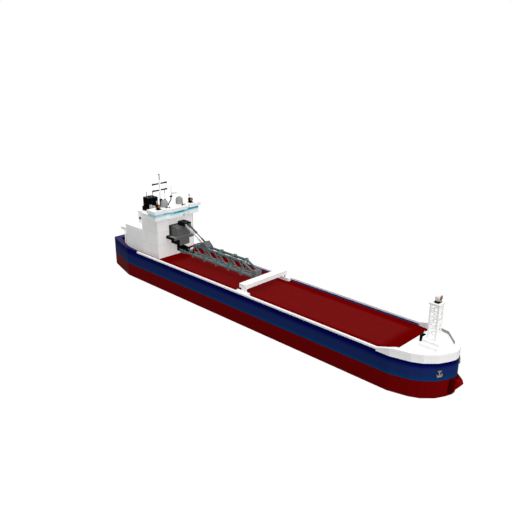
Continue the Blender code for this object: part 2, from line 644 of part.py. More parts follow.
def build_turret(finish):
    origin = (SLEW_X, 0, TURRET_LOW)
    body = block((TURRET_BACK_X, TURRET_NECK_X), (-TURRET_HALF, TURRET_HALF), (TURRET_LOW, TURRET_TOP))
    neck = block((TURRET_NECK_X - 0.001, TURRET_FRONT_X), (-NECK_HALF, NECK_HALF),
                 (TURRET_LOW + 0.0004, TURRET_TOP - 0.0004))
    inside = TURRET_FRONT_X - 0.002
    tongue = lug(LUFF_X, LUFF_Z, (-TONGUE_HALF, TONGUE_HALF),
                 [(inside, TURRET_LOW + 0.0008), (inside, TURRET_LOW + 0.009)])
    pin = round_bar((LUFF_X, -BOOM_HALF, LUFF_Z), (LUFF_X, BOOM_HALF, LUFF_Z), PIN_RADIUS)
    low = HOPPER_TOP + PLAY + GAP
    column = round_bar((SLEW_X, 0, TURRET_TOP - 0.002), (SLEW_X, 0, low - GAP), COLUMN_RADIUS, sides=24)
    add("turret", joined(body, neck, tongue, pin, column), finish["black"], origin)
    cap = block((BRACKET_BACK_X, BRACKET_FRONT_X), (-LUG_OUTER, LUG_OUTER), (low, low + BRACKET_HEIGHT))
    hood = block((BRACKET_FRONT_X - 0.001, HOOD_FRONT_X), (0.0002 - LUG_OUTER, LUG_OUTER - 0.0002),
                 (low + BRACKET_HEIGHT - HOOD_THICKNESS, low + BRACKET_HEIGHT - 0.0003))
    root = BRACKET_FRONT_X - 0.0015
    lugs = [lug(CYLINDER_FOOT_X, CYLINDER_FOOT_Z, span(s, LUG_INNER, LUG_OUTER - 0.0002),
                [(root, low + 0.0005), (root, low + BRACKET_HEIGHT - 0.0005)]) for s in (-1, 1)]
    axle_half = LUG_OUTER - 0.0006
    axle = round_bar((CYLINDER_FOOT_X, -axle_half, CYLINDER_FOOT_Z),
                     (CYLINDER_FOOT_X, axle_half, CYLINDER_FOOT_Z), PIN_RADIUS)
    add("cylinder_bracket", joined(cap, hood, *lugs, axle), finish["black"], origin)


def chord_bars(y):
    """One side of the boom: chords, sloped ends, leaning posts, braces and feet."""
    feet = [FIRST_FOOT_X + BAY * k for k in range(BAYS)]
    end_x = HEAD_BACK_X - GAP - CHORD / 2
    bars = [flat_bar((LUFF_X, y, LUFF_Z), (HEAD_BACK_X - GAP, y, LUFF_Z), CHORD),
            flat_bar((UPPER_CHORD_BACK_X, y, BOOM_HIGH_Z), (UPPER_CHORD_FRONT_X, y, BOOM_HIGH_Z), CHORD),
            flat_bar((UPPER_CHORD_FRONT_X - 0.001, y, BOOM_HIGH_Z), (end_x, y, HEAD_TOP - 0.003), 0.94 * CHORD),
            flat_bar((end_x, y, LUFF_Z), (end_x, y, HEAD_TOP - 0.001), 0.9 * CHORD),
            flat_bar((CHEEK_FRONT_X - 0.002, y, CHEEK_TOP - 0.0014),
                     (UPPER_CHORD_BACK_X + 0.001, y, BOOM_HIGH_Z), 1.2 * LATTICE)]
    for x in feet:
        bars.append(flat_bar((x, y, LUFF_Z), (x + LEAN, y, BOOM_HIGH_Z), LATTICE))
        foot_half = 0.42 * CHORD
        bars.append(block((x - BOOM_FOOT_LENGTH / 2, x + BOOM_FOOT_LENGTH / 2),
                          (y - foot_half, y + foot_half), (LUFF_Z - CHORD / 2 - BOOM_FOOT_DROP, LUFF_Z)))
    for x, after in zip(feet, feet[1:]):
        bars.append(flat_bar((x + LEAN, y, BOOM_HIGH_Z), (after, y, LUFF_Z), 0.9 * LATTICE))
    return bars


def lattice_bars():
    """Both sides of the boom, the cross ties between them and the slanting plates of its floor."""
    y = BOOM_HALF - CHORD / 2
    feet = [FIRST_FOOT_X + BAY * k for k in range(BAYS)]
    bars = chord_bars(-y) + chord_bars(y)
    for x, after in zip(feet, feet[1:] + [HEAD_BACK_X - 0.006]):
        bars.append(flat_bar((x, -y, LUFF_Z), (x, y, LUFF_Z), 0.8 * CHORD))
        bars.append(flat_bar((x + LEAN, -y, BOOM_HIGH_Z), (x + LEAN, y, BOOM_HIGH_Z), 0.8 * CHORD))
        inset = CHORD / 4
        bars.append(flat_bar((x, inset - y, LUFF_Z), (after, y - inset, LUFF_Z), 0.0036, 0.8 * LATTICE))
    return bars


def build_boom(finish):
    origin = (LUFF_X, 0, LUFF_Z)
    bars = lattice_bars()
    roots = [round_bar((LUFF_X, s * (TONGUE_HALF + GAP), LUFF_Z), (LUFF_X, s * (BOOM_HALF + GAP), LUFF_Z),
                       LUG_RADIUS, sides=24) for s in (-1, 1)]
    cheeks = [block((CHEEK_BACK_X, CHEEK_FRONT_X), span(s, CHEEK_INNER, BOOM_HALF + GAP / 2),
                    (CHEEK_LOW, CHEEK_TOP)) for s in (-1, 1)]
    hole = round_bar((LUFF_X, -0.02, LUFF_Z), (LUFF_X, 0.02, LUFF_Z), PIN_RADIUS + PLAY)
    add("boom_lattice", cut(joined(bars[0], *bars[1:], *cheeks, *roots), hole), finish["green_grey"], origin)
    head = block((HEAD_BACK_X, HEAD_FRONT_X), (-BOOM_HALF, BOOM_HALF), (HEAD_LOW, HEAD_TOP))
    add("boom_head", head, finish["green_grey"], origin)
    low = BOOM_HIGH_Z + CHORD / 2 + GAP
    plate = block((SADDLE_BACK_X, SADDLE_FRONT_X), (-LUG_OUTER, LUG_OUTER), (low, low + 0.0016))
    front = SADDLE_FRONT_X - 0.0005
    wedge = prism([(WEDGE_BACK_X, low + 0.0006), (WEDGE_BACK_X, WEDGE_TOP - 0.001),
                   (WEDGE_BACK_X + 0.002, WEDGE_TOP), (front, low + 0.0024), (front, low + 0.0006)],
                  0.0002 - LUG_OUTER, LUG_OUTER - 0.0002, "Y")
    lugs = [lug(ROD_PIN_X, ROD_PIN_Z, span(s, LUG_INNER, LUG_OUTER - 0.0002),
                [(ROD_PIN_X - 0.005, low + 0.0008), (ROD_PIN_X + 0.005, low + 0.0008)]) for s in (-1, 1)]
    axle_half = LUG_OUTER - 0.0006
    axle = round_bar((ROD_PIN_X, -axle_half, ROD_PIN_Z), (ROD_PIN_X, axle_half, ROD_PIN_Z), PIN_RADIUS)
    add("boom_saddle", joined(plate, wedge, *lugs, axle), finish["grey"], origin)


def on_cylinder(distance, y):
    """A point on a cylinder's line, measured from its foot pin."""
    along = Vector((ROD_PIN_X - CYLINDER_FOOT_X, 0, ROD_PIN_Z - CYLINDER_FOOT_Z)).normalized()
    return Vector((CYLINDER_FOOT_X, y, CYLINDER_FOOT_Z)) + along * distance


def eye(centre, hole_radius):
    """A round eye across Y, and the cutter for its hole."""
    across = Vector((0, EYE_HALF, 0))
    ring = round_bar(centre - across, centre + across, EYE_RADIUS, sides=24)
    return ring, round_bar(centre - 3 * across, centre + 3 * across, hole_radius)


def build_cylinders(finish):
    length = math.hypot(ROD_PIN_X - CYLINDER_FOOT_X, ROD_PIN_Z - CYLINDER_FOOT_Z)
    for name, y, colour in (("starboard", -CYLINDER_Y, "silver"), ("port", CYLINDER_Y, "grey")):
        ring, hole = eye(on_cylinder(0, y), PIN_RADIUS + PLAY)
        tube = round_bar(on_cylinder(EYE_RADIUS - 0.0012, y), on_cylinder(BARREL_END, y),
                         BARREL_RADIUS, sides=20)
        collar = round_bar(on_cylinder(BARREL_END - 0.0024, y), on_cylinder(BARREL_END + 0.0003, y),
                           BARREL_RADIUS + 0.0005, sides=20)
        bore = round_bar(on_cylinder(BORE_START, y), on_cylinder(BARREL_END + 0.01, y), BARREL_BORE)
        add_round("luff_barrel_" + name, cut(joined(ring, tube, collar), hole, bore), finish[colour],
                  on_cylinder(0, y))
        ring, hole = eye(on_cylinder(length, y), PIN_RADIUS + ROD_EYE_PLAY)
        stem = round_bar(on_cylinder(ROD_START, y), on_cylinder(length - EYE_RADIUS + 0.0006, y), ROD_RADIUS)
        add_round("luff_rod_" + name, cut(joined(ring, stem), hole), finish[colour], on_cylinder(length, y))


def build_gantry(finish):
    beam = block((GANTRY_X - BEAM_HALF_X, GANTRY_X + BEAM_HALF_X), (-BEAM_HALF_Y, BEAM_HALF_Y),
                 (BEAM_LOW, BEAM_TOP))
    feet = [block((GANTRY_X - GANTRY_FOOT_HALF_X, GANTRY_X + GANTRY_FOOT_HALF_X),
                  span(s, GANTRY_FOOT_INNER, GANTRY_FOOT_OUTER), (DECK_TOP + PLAY, GANTRY_FOOT_TOP))
            for s in (-1, 1)]
    posts = [block((x - GANTRY_POST_HALF, x + GANTRY_POST_HALF), span(s, GANTRY_POST_INNER, GANTRY_POST_OUTER),
                   (GANTRY_FOOT_TOP - PLAY, BEAM_LOW + PLAY))
             for x in GANTRY_POST_X for s in (-1, 1)]
    add("gantry", joined(beam, *feet, *posts), finish["white"])


def build_propeller(finish):
    centre = Vector((PROPELLER_X, 0, SHAFT_Z))
    half = Vector((HUB_LENGTH / 2, 0, 0))
    hub = round_bar(centre - half, centre + half, 0.7 * HUB_RADIUS, HUB_RADIUS, 20)
    shaft = round_bar(centre, (WELL_FRONT_X + 0.001, 0, SHAFT_Z), SHAFT_RADIUS)
    blades = []
    for k in range(BLADES):
        blade = block((-0.0008, 0.0008), (-0.0028, 0.0028), (0.0012, PROPELLER_RADIUS))
        blade.transform(Matrix.Rotation(math.radians(28), 4, "Z"))
        blade.transform(Matrix.Rotation(2 * math.pi * (k + 0.5) / BLADES, 4, "X"))
        blade.transform(Matrix.Translation(centre))
        blades.append(blade)
    add("propeller", joined(hub, shaft, *blades), finish["bronze"], centre)


def build_rudder(finish):
    plan = [(RUDDER_X + RUDDER_LEADING, 0.0005), (RUDDER_X + 0.0015, 0.0019), (RUDDER_X - 0.004, 0.0019),
            (RUDDER_X - RUDDER_TRAILING, 0.0005)]
    plate = prism(mirrored(plan), RUDDER_FOOT_Z, RUDDER_HEAD_Z)
    stock = round_bar((RUDDER_X, 0, RUDDER_HEAD_Z - 0.002), (RUDDER_X, 0, WELL_TOP + 0.0016), STOCK_RADIUS)
    add("rudder", joined(plate, stock), finish["red"], (RUDDER_X, 0, RUDDER_FOOT_Z))


def main():
    clear_scene()
    finish = {
        "white": material("white_bricks", (0.88, 0.88, 0.87)),
        "navy": material("navy_bricks", (0.012, 0.020, 0.075)),
        "red": material("hull_red_bricks", (0.16, 0.004, 0.005)),
        "deck": material("deck_red_bricks", (0.20, 0.006, 0.007)),
        "black": material("black_bricks", (0.012, 0.012, 0.013)),
        "grey": material("dark_grey_bricks", (0.10, 0.105, 0.105)),
        "green_grey": material("grey_green_lattice", (0.17, 0.20, 0.20)),
        "silver": material("light_grey_bricks", (0.42, 0.43, 0.43)),
        "glass": material("window_blue", (0.25, 0.62, 0.72), 0.08),
        "bronze": material("propeller_bronze", (0.45, 0.30, 0.12), 0.3, 0.8),
    }
    build_hull(finish)
    build_bulwarks(finish)
    build_deck(finish)
    build_forecastle(finish)
    build_foremast(finish)
    build_bow_fittings(finish)
    build_house(finish)
    build_boat_deck(finish)
    build_bridge(finish)
    build_funnel(finish)
    build_main_mast(finish)
    build_bridge_fittings(finish)
    build_hopper(finish)
    build_turret(finish)
    build_boom(finish)
    build_cylinders(finish)
    build_gantry(finish)
    build_propeller(finish)
    build_rudder(finish)


main()
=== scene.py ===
"""Finish, light and camera for a toy bulk carrier: glossy bricks, window panes, mast and deck fittings."""

import math

import bmesh
import bpy
from mathutils import Matrix, Vector


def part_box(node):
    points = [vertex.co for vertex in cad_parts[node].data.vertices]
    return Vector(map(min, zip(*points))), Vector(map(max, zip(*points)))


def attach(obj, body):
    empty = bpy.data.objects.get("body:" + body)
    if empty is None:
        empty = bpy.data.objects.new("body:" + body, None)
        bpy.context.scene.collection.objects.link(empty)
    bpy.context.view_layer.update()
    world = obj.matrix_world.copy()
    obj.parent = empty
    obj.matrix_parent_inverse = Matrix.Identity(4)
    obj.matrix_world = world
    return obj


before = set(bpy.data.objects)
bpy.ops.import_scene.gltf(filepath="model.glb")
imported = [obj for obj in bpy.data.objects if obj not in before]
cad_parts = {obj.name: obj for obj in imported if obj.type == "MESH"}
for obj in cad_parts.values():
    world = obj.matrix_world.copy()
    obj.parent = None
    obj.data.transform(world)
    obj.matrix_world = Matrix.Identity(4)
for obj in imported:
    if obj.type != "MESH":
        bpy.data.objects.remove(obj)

# Building module
STUD = 0.008
PLATE = 0.0032
BRICK = 3 * PLATE

# Levels of the hull and the house
DECK_TOP = 6 * BRICK
RAIL_TOP = DECK_TOP + 2 * PLATE
BRIDGE_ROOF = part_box("bridge_roof")[1].z

# Fittings on the roof and house: places along x and y, then heights over the slab, or x and z on a wall
ROOF_LEVERS = (("starboard", (-0.2438, -0.0234), (-0.2388, -0.0185)), ("port", (-0.2398, 0.0170), (-0.2378, 0.0142)))
AERIAL_PLACE = (-0.2698, -0.0067)
PALE_LOCKERS = ((-0.2835, -0.0345, 0.0085), (-0.2805, -0.0292, 0.0062))
CASING_LAMP = (-0.3417, 0.1250)
FUNNEL_WHIP = (-0.333, 0.0065)
CROSSBAR_LEVELS = (0.1925, 0.2070)

# Boom and luffing cylinders, as in the part's source
FIRST_FOOT_X = -0.1815
BAY = 0.0364
BAYS = 5
BOOM_FLOOR = 0.0716
CLAMPS_X = (-0.1030, -0.0640, -0.0310)
WALKWAY_FRONT_X = -0.0330
SLAT_PITCH = 0.0036
CYLINDER_FOOT = Vector((-0.206, 0, 0.133))
ROD_PIN = Vector((-0.151, 0, 0.1045))
CYLINDER_Y = 0.0041
BARREL_RINGS = (0.0085, 0.0262, 0.0280)

# Camera, solved from the hull's straight sides and the stem
CAMERA_PLACE = (0.78212, -0.78212, 0.50538)
CAMERA_AIM = (0, 0, 0.11432)
CAMERA_ANGLE = math.radians(45)

# Soft light: even sky, a weak key with a shadow, and broad fills without one (strength along x, y, z)
SKY = 0.42
KEY = (0.08, 0, 0.15)
FILLS = {"fill_ahead": (0.50, -0.27, 0.60), "fill_astern": (-0.22, 0.22, 0.08)}

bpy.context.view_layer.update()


def srgb(red, green, blue):
    """A linear colour from display values of 0 to 255."""
    channels = []
    for value in (red, green, blue):
        part = value / 255
        channels.append(part / 12.92 if part <= 0.04045 else ((part + 0.055) / 1.055) ** 2.4)
    return (*channels, 1)


WHITE = (0.86, 0.86, 0.855, 1)
SHELL_RED = (0.140, 0.0008, 0.0012, 1)
# Painted light: the bulb's brighter red forward
BULB_LIT_RED = (0.185, 0.0002, 0.0003, 1)
DECK_RED = (0.128, 0.0002, 0.0002, 1)
# Painted light: the deck's paler field, inside a margin of painted shade
DECK_LIGHT_FIELD = (0.150, 0.0058, 0.0060, 1)
NAVY = (0.009, 0.021, 0.105, 1)
NAVY_BRIGHT = (0.001, 0.036, 0.135, 1)
# Painted shade: the deepest navy, under the rail
NAVY_RAIL_SHADE = (0.0002, 0.0004, 0.070, 1)
# Painted light: clear blue on the inner face of the port bulwark
NAVY_INSIDE_LIGHT = (0.0002, 0.050, 0.200, 1)
BLACK = (0.0015, 0.0015, 0.0015, 1)
DARK_GREY = (0.118, 0.120, 0.120, 1)
BOOM_GREY = (0.120, 0.165, 0.165, 1)
LIGHT_GREY = (0.38, 0.385, 0.38, 1)
DOME_GREY = (0.27, 0.272, 0.27, 1)
AMBER = (0.30, 0.13, 0.055, 1)
PALE_BLUE = (0.55, 0.80, 0.86, 1)
TEAL = (0.01, 0.33, 0.46, 1)
YELLOW = (0.42, 0.40, 0.0, 1)
BOOM_DARK = (0.055, 0.060, 0.060, 1)
BOOM_PLATE = (0.085, 0.115, 0.115, 1)
BOOM_PALE = (0.165, 0.205, 0.205, 1)


class Nodes:
    """A small builder for one material's nodes."""

    def __init__(self, name):
        self.material = bpy.data.materials.new(name)
        self.material.use_nodes = True
        self.tree = self.material.node_tree
        self.shader = self.tree.nodes["Principled BSDF"]
        self.place = self.tree.nodes.new("ShaderNodeTexCoord").outputs["Object"]
        self.axes = self.split(self.place)

    def link(self, source, target):
        if isinstance(source, bpy.types.NodeSocket):
            self.tree.links.new(source, target)
        else:
            target.default_value = source

    def split(self, vector):
        node = self.tree.nodes.new("ShaderNodeSeparateXYZ")
        self.link(vector, node.inputs[0])
        return node.outputs

    def math(self, operation, first, second=0.0, third=0.0):
        node = self.tree.nodes.new("ShaderNodeMath")
        node.operation = operation
        for socket, value in zip(node.inputs, (first, second, third)):
            self.link(value, socket)
        return node.outputs[0]

    def ramp(self, value, low, high):
        """0 below low, 1 above high, smooth between."""
        node = self.tree.nodes.new("ShaderNodeMapRange")
        node.interpolation_type = "SMOOTHSTEP"
        self.link(value, node.inputs["Value"])
        node.inputs["From Min"].default_value = low
        node.inputs["From Max"].default_value = high
        return node.outputs["Result"]

    def mix(self, factor, first, second):
        node = self.tree.nodes.new("ShaderNodeMix")
        node.data_type = "RGBA"
        self.link(factor, node.inputs["Factor"])
        self.link(first, node.inputs["A"])
        self.link(second, node.inputs["B"])
        return node.outputs["Result"]

    def noise(self, scale, detail=2.0):
        node = self.tree.nodes.new("ShaderNodeTexNoise")
        self.link(self.place, node.inputs["Vector"])
        node.inputs["Scale"].default_value = scale
        node.inputs["Detail"].default_value = detail
        return node.outputs["Fac"]

    def facing(self):
        """The way a face looks in its piece's own frame, so that patterns stay put when the piece turns."""
        turn = self.tree.nodes.new("ShaderNodeVectorTransform")
        turn.vector_type = "NORMAL"
        turn.convert_from = "WORLD"
        turn.convert_to = "OBJECT"
        self.link(self.tree.nodes.new("ShaderNodeNewGeometry").outputs["Normal"], turn.inputs[0])
        return self.split(turn.outputs[0])

    def bricks(self, length, course, joint, shift=(0, 0)):
        """Brick coursing on every face: seam mask and a shade for each brick."""
        nx, _, nz = (self.math("ABSOLUTE", part) for part in self.facing())
        flat = self.math("GREATER_THAN", nz, 0.7)
        across = self.math("GREATER_THAN", nx, 0.72)
        x, y, z = self.axes
        side = self.math("ADD", self.math("MULTIPLY", y, across),
                         self.math("MULTIPLY", x, self.math("SUBTRACT", 1.0, across)))
        u = self.math("ADD", self.math("MULTIPLY", x, flat),
                      self.math("MULTIPLY", side, self.math("SUBTRACT", 1.0, flat)))
        v = self.math("ADD", self.math("MULTIPLY", y, flat),
                      self.math("MULTIPLY", z, self.math("SUBTRACT", 1.0, flat)))
        vector = self.tree.nodes.new("ShaderNodeCombineXYZ")
        self.link(self.math("ADD", u, shift[0]), vector.inputs[0])
        self.link(self.math("ADD", v, shift[1]), vector.inputs[1])
        node = self.tree.nodes.new("ShaderNodeTexBrick")
        self.link(vector.outputs[0], node.inputs["Vector"])
        node.inputs["Scale"].default_value = 1.0
        node.inputs["Brick Width"].default_value = length
        node.inputs["Row Height"].default_value = course
        node.inputs["Mortar Size"].default_value = joint
        node.inputs["Mortar Smooth"].default_value = 0.4
        node.inputs["Color1"].default_value = (0, 0, 0, 1)
        node.inputs["Color2"].default_value = (1, 1, 1, 1)
        node.inputs["Mortar"].default_value = (0.5, 0.5, 0.5, 1)
        return node.outputs["Fac"], node.outputs["Color"]

    def finish(self, colour, roughness=0.3, seam=None, peel=0.00003, specular=0.02):
        """Moulded plastic over a colour: slight waviness, uneven polish and grooved joints."""
        self.link(colour, self.shader.inputs["Base Color"])
        polish = self.math("MULTIPLY_ADD", self.noise(90.0), 0.16, roughness - 0.08)
        self.link(polish, self.shader.inputs["Roughness"])
        self.shader.inputs["Specular IOR Level"].default_value = specular
        height = self.math("MULTIPLY", self.noise(220.0, 3.0), peel)
        if seam is not None:
            height = self.math("SUBTRACT", height, self.math("MULTIPLY", seam, 0.00012))
        bump = self.tree.nodes.new("ShaderNodeBump")
        bump.inputs["Strength"].default_value = 0.6
        bump.inputs["Distance"].default_value = 1.0
        self.link(height, bump.inputs["Height"])
        self.link(bump.outputs["Normal"], self.shader.inputs["Normal"])
        return self.material


def shaded(colour, factor):
    return tuple(min(1.0, channel * factor) for channel in colour[:3]) + (1,)


def brick_plastic(name, colour, length=4 * STUD, course=BRICK, joint=0.00016, seam_shade=0.6, spread=0.05,
                  roughness=0.3, shift=(0, 0), specular=0.02):
    """Plastic of one colour laid in courses, each brick a little lighter or darker than the next."""
    nodes = Nodes(name)
    seam, shade = nodes.bricks(length, course, joint, shift)
    varied = nodes.mix(shade, shaded(colour, 1 - spread), shaded(colour, 1 + spread / 2))
    jointed = nodes.mix(seam, varied, shaded(colour, seam_shade))
    return nodes.finish(jointed, roughness, seam, specular=specular)


def moulded(name, colour, roughness=0.3, spread=0.08, specular=0.02):
    """Plastic of one colour in a single moulding, faintly mottled."""
    nodes = Nodes(name)
    mottled = nodes.mix(nodes.noise(60.0), shaded(colour, 1 - spread), shaded(colour, 1 + spread))
    return nodes.finish(mottled, roughness, specular=specular)


def two_tone(name, first, second, axis, low, high, roughness=0.3):
    """Plastic that changes colour along an axis between two places."""
    nodes = Nodes(name)
    place = nodes.axes["XYZ".index(axis)]
    mottle = nodes.noise(60.0)
    start = nodes.mix(mottle, shaded(first, 0.93), shaded(first, 1.07))
    end = nodes.mix(mottle, shaded(second, 0.93), shaded(second, 1.07))
    return nodes.finish(nodes.mix(nodes.ramp(place, low, high), start, end), roughness)


def navy_side():
    """Blue bricks, brighter along the waterline, with painted shade deepest under the rail and painted light, a clear
    blue, on the bulwark's inner face.
    """
    nodes = Nodes("navy_bricks")
    seam, shade = nodes.bricks(16 * STUD, 3 * BRICK, 0.0002, (0.052, 0))
    _, y, z = nodes.axes
    waterline = nodes.math("SUBTRACT", 1.0, nodes.ramp(z, 0.0325, 0.0365))
    low = nodes.mix(waterline, NAVY, NAVY_BRIGHT)
    # Painted shade: the navy turns deepest under the rail
    base = nodes.mix(nodes.ramp(z, 0.046, 0.0555), low, NAVY_RAIL_SHADE)
    varied = nodes.mix(nodes.math("MULTIPLY", shade, 0.12), base, shaded(NAVY, 0.7))
    jointed = nodes.mix(seam, varied, shaded(NAVY, 0.35))
    # Painted light: faces on the port side that look to starboard turn clear blue
    to_starboard = nodes.math("LESS_THAN", nodes.facing()[1], -0.4)
    inside = nodes.math("MULTIPLY", nodes.math("GREATER_THAN", y, 0), to_starboard)
    return nodes.finish(nodes.mix(inside, jointed, NAVY_INSIDE_LIGHT), 0.32, seam, specular=0.01)


def deck_plates():
    """Red deck tiles, a paler field of painted light inside a deep red margin of painted shade along the bulwarks and
    at the ends.
    """
    nodes = Nodes("deck_tiles")
    seam, shade = nodes.bricks(2 * STUD, STUD, 0.00012)
    x, y, _ = nodes.axes
    # Painted shade: a deep red margin along the bulwarks and at both ends, with a paler field of painted light inside
    # it
    margin = nodes.math("SUBTRACT", 1.0, nodes.ramp(nodes.math("ABSOLUTE", y), 0.038, 0.047))
    fore = nodes.math("SUBTRACT", 1.0, nodes.ramp(x, 0.305, 0.325))
    aft = nodes.ramp(x, -0.225, -0.195)
    light_field = nodes.math("MULTIPLY", nodes.math("MULTIPLY", margin, fore), aft)
    base = nodes.mix(light_field, DECK_RED, DECK_LIGHT_FIELD)
    varied = nodes.mix(nodes.math("MULTIPLY", shade, 0.1), base, shaded(DECK_RED, 0.8))
    jointed = nodes.mix(nodes.math("MULTIPLY", seam, 0.6), varied, shaded(DECK_RED, 0.45))
    return nodes.finish(jointed, 0.34, seam, specular=0)


def window_band():
    """Clear blue panes, deep where they look forward and pale on the wings and along the sill."""
    nodes = Nodes("window_panes")
    x, y, z = nodes.axes
    sill = nodes.ramp(z, 0.1530, 0.1550)
    starboard = nodes.ramp(y, -0.046, -0.030)
    streak = nodes.ramp(nodes.noise(70.0), 0.30, 0.55)
    clear = nodes.math("MULTIPLY", nodes.math("MAXIMUM", streak, 0.55), nodes.math("MAXIMUM", starboard, 0.35))
    colour = nodes.mix(nodes.math("MULTIPLY", sill, clear), PALE_BLUE, TEAL)
    return nodes.finish(colour, 0.14, specular=0.02)


def lens_glass():
    """Amber lens, faintly mottled."""
    nodes = Nodes("amber_lens")
    mottled = nodes.mix(nodes.noise(400.0), shaded(AMBER, 0.65), shaded(AMBER, 1.3))
    return nodes.finish(mottled, 0.12, specular=0.2)


def mast_plastic():
    """White pole with black crossbars and a dark grey aerial."""
    nodes = Nodes("mast_plastic")
    x, y, z = nodes.axes
    bars = nodes.math("GREATER_THAN", nodes.math("ABSOLUTE", y), 0.0021)
    bars = nodes.math("MULTIPLY", bars, nodes.math("GREATER_THAN", z, 0.16))
    aerial = nodes.math("GREATER_THAN", z, 0.2148)
    mottled = nodes.mix(nodes.noise(80.0), shaded(WHITE, 0.94), WHITE)
    dark = nodes.mix(aerial, mottled, shaded(DARK_GREY, 0.45))
    return nodes.finish(nodes.mix(bars, dark, BLACK), 0.32)


def boom_plastic():
    """Grey-green lattice with black stays at its root."""
    nodes = Nodes("boom_plastic")
    x, y, z = nodes.axes
    root = nodes.math("LESS_THAN", x, -0.1775)
    stay = nodes.math("MULTIPLY", root, nodes.math("GREATER_THAN", z, 0.0778))
    mottled = nodes.mix(nodes.noise(70.0), shaded(BOOM_GREY, 0.82), shaded(BOOM_GREY, 1.18))
    return nodes.finish(nodes.mix(stay, mottled, BLACK), 0.36)


def hopper_plastic():
    """Dark grey bricks, black towards the wall as painted shade, black on the flange's ends and under it, with a
    painted highlight along a ridge.
    """
    nodes = Nodes("hopper_plastic")
    seam, shade = nodes.bricks(2 * STUD, BRICK, 0.00016, (0.002, 0))
    x, y, z = nodes.axes
    reach = nodes.math("ABSOLUTE", y)
    # Painted shade: black fading to grey away from the house wall
    wall = nodes.math("SUBTRACT", 1.0, nodes.ramp(x, -0.2440, -0.2300))
    ends = nodes.math("GREATER_THAN", reach, 0.0262)
    below = nodes.math("MULTIPLY", nodes.math("LESS_THAN", z, 0.0998), nodes.math("GREATER_THAN", reach, 0.0130))
    dark = nodes.math("MAXIMUM", nodes.math("MAXIMUM", wall, ends), below)
    # Painted highlight: a lighter band along the ridge
    ridge_highlight = nodes.math("COMPARE", z, 0.1056, 0.0006)
    base = nodes.mix(nodes.math("MULTIPLY", shade, 0.3), shaded(DARK_GREY, 0.9), shaded(DARK_GREY, 1.15))
    lit = nodes.mix(ridge_highlight, base, shaded(DARK_GREY, 1.7))
    jointed = nodes.mix(nodes.math("MULTIPLY", seam, 0.5), lit, shaded(DARK_GREY, 0.6))
    return nodes.finish(nodes.mix(dark, jointed, BLACK), 0.36, seam)


def bow_rail_plastic():
    """White bow rail, with painted shade in grey on the inner face of its port side."""
    nodes = Nodes("bow_rail_plastic")
    seam, _ = nodes.bricks(4 * STUD, BRICK, 0.00016)
    # Painted shade: faces on the port side that look to starboard turn grey
    to_starboard = nodes.math("LESS_THAN", nodes.facing()[1], -0.4)
    inside = nodes.math("MULTIPLY", nodes.math("GREATER_THAN", nodes.axes[1], 0), to_starboard)
    shadowed = nodes.math("MULTIPLY", inside, nodes.ramp(nodes.axes[0], 0.346, 0.354))
    base = nodes.mix(shadowed, WHITE, shaded(LIGHT_GREY, 0.85))
    return nodes.finish(nodes.mix(nodes.math("MULTIPLY", seam, 0.3), base, shaded(LIGHT_GREY, 0.9)), 0.3, seam)


def paint(node, material):
    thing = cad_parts[node]
    thing.data.materials.clear()
    thing.data.materials.append(material)


def add(name, shape, material, body="hull", smooth=True, angle=35):
    """A new piece from a shape in world places, riding on a body."""
    mesh = bpy.data.meshes.new(name)
    bmesh.ops.recalc_face_normals(shape, faces=shape.faces)
    shape.to_mesh(mesh)
    shape.free()
    mesh.materials.append(material)
    if smooth:
        mesh.shade_smooth()
        mesh.set_sharp_from_angle(angle=math.radians(angle))
    thing = bpy.data.objects.new(name, mesh)
    bpy.context.scene.collection.objects.link(thing)
    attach(thing, body)
    return thing


def gather(*shapes):
    """Several shapes as one."""
    whole = bmesh.new()
    for shape in shapes:
        mesh = bpy.data.meshes.new("part")
        shape.to_mesh(mesh)
        shape.free()
        whole.from_mesh(mesh)
        bpy.data.meshes.remove(mesh)
    return whole


def box(x, y, z, bevel=0.0002):
    """A box from three (low, high) pairs with softened edges."""
    shape = bmesh.new()
    bmesh.ops.create_cube(shape, size=1.0)
    size = Matrix.Diagonal((x[1] - x[0], y[1] - y[0], z[1] - z[0], 1))
    shape.transform(Matrix.Translation(((x[0] + x[1]) / 2, (y[0] + y[1]) / 2, (z[0] + z[1]) / 2)) @ size)
    if bevel:
        bmesh.ops.bevel(shape, geom=shape.edges, offset=bevel, segments=2, profile=0.5, affect="EDGES")
    return shape


def rod(start, end, radius, end_radius=None, sides=16):
    """A round bar or cone from start to end."""
    start = Vector(start)
    end = Vector(end)
    shape = bmesh.new()
    top = radius if end_radius is None else end_radius
    bmesh.ops.create_cone(shape, cap_ends=True, segments=sides, radius1=radius, radius2=top,
                          depth=(end - start).length)
    turn = (end - start).to_track_quat("Z", "Y").to_matrix().to_4x4()
    shape.transform(Matrix.Translation((start + end) / 2) @ turn)
    return shape


def tube(points, radius, sides=10):
    """A round bar through several points."""
    return gather(*[rod(a, b, radius, sides=sides) for a, b in zip(points, points[1:])])


def ring(centre, radius, thickness, turn=Matrix.Identity(4)):
    """A round hoop, lying flat unless turned."""
    shape = bmesh.new()
    steps = 28
    sides = 8
    loops = []
    for i in range(steps):
        a = 2 * math.pi * i / steps
        loops.append([])
        for j in range(sides):
            b = 2 * math.pi * j / sides
            reach = radius + thickness * math.cos(b)
            loops[-1].append(shape.verts.new((reach * math.cos(a), reach * math.sin(a), thickness * math.sin(b))))
    for i in range(steps):
        for j in range(sides):
            k = (i + 1) % steps
            m = (j + 1) % sides
            shape.faces.new((loops[i][j], loops[k][j], loops[k][m], loops[i][m]))
    shape.transform(Matrix.Translation(centre) @ turn)
    return shape


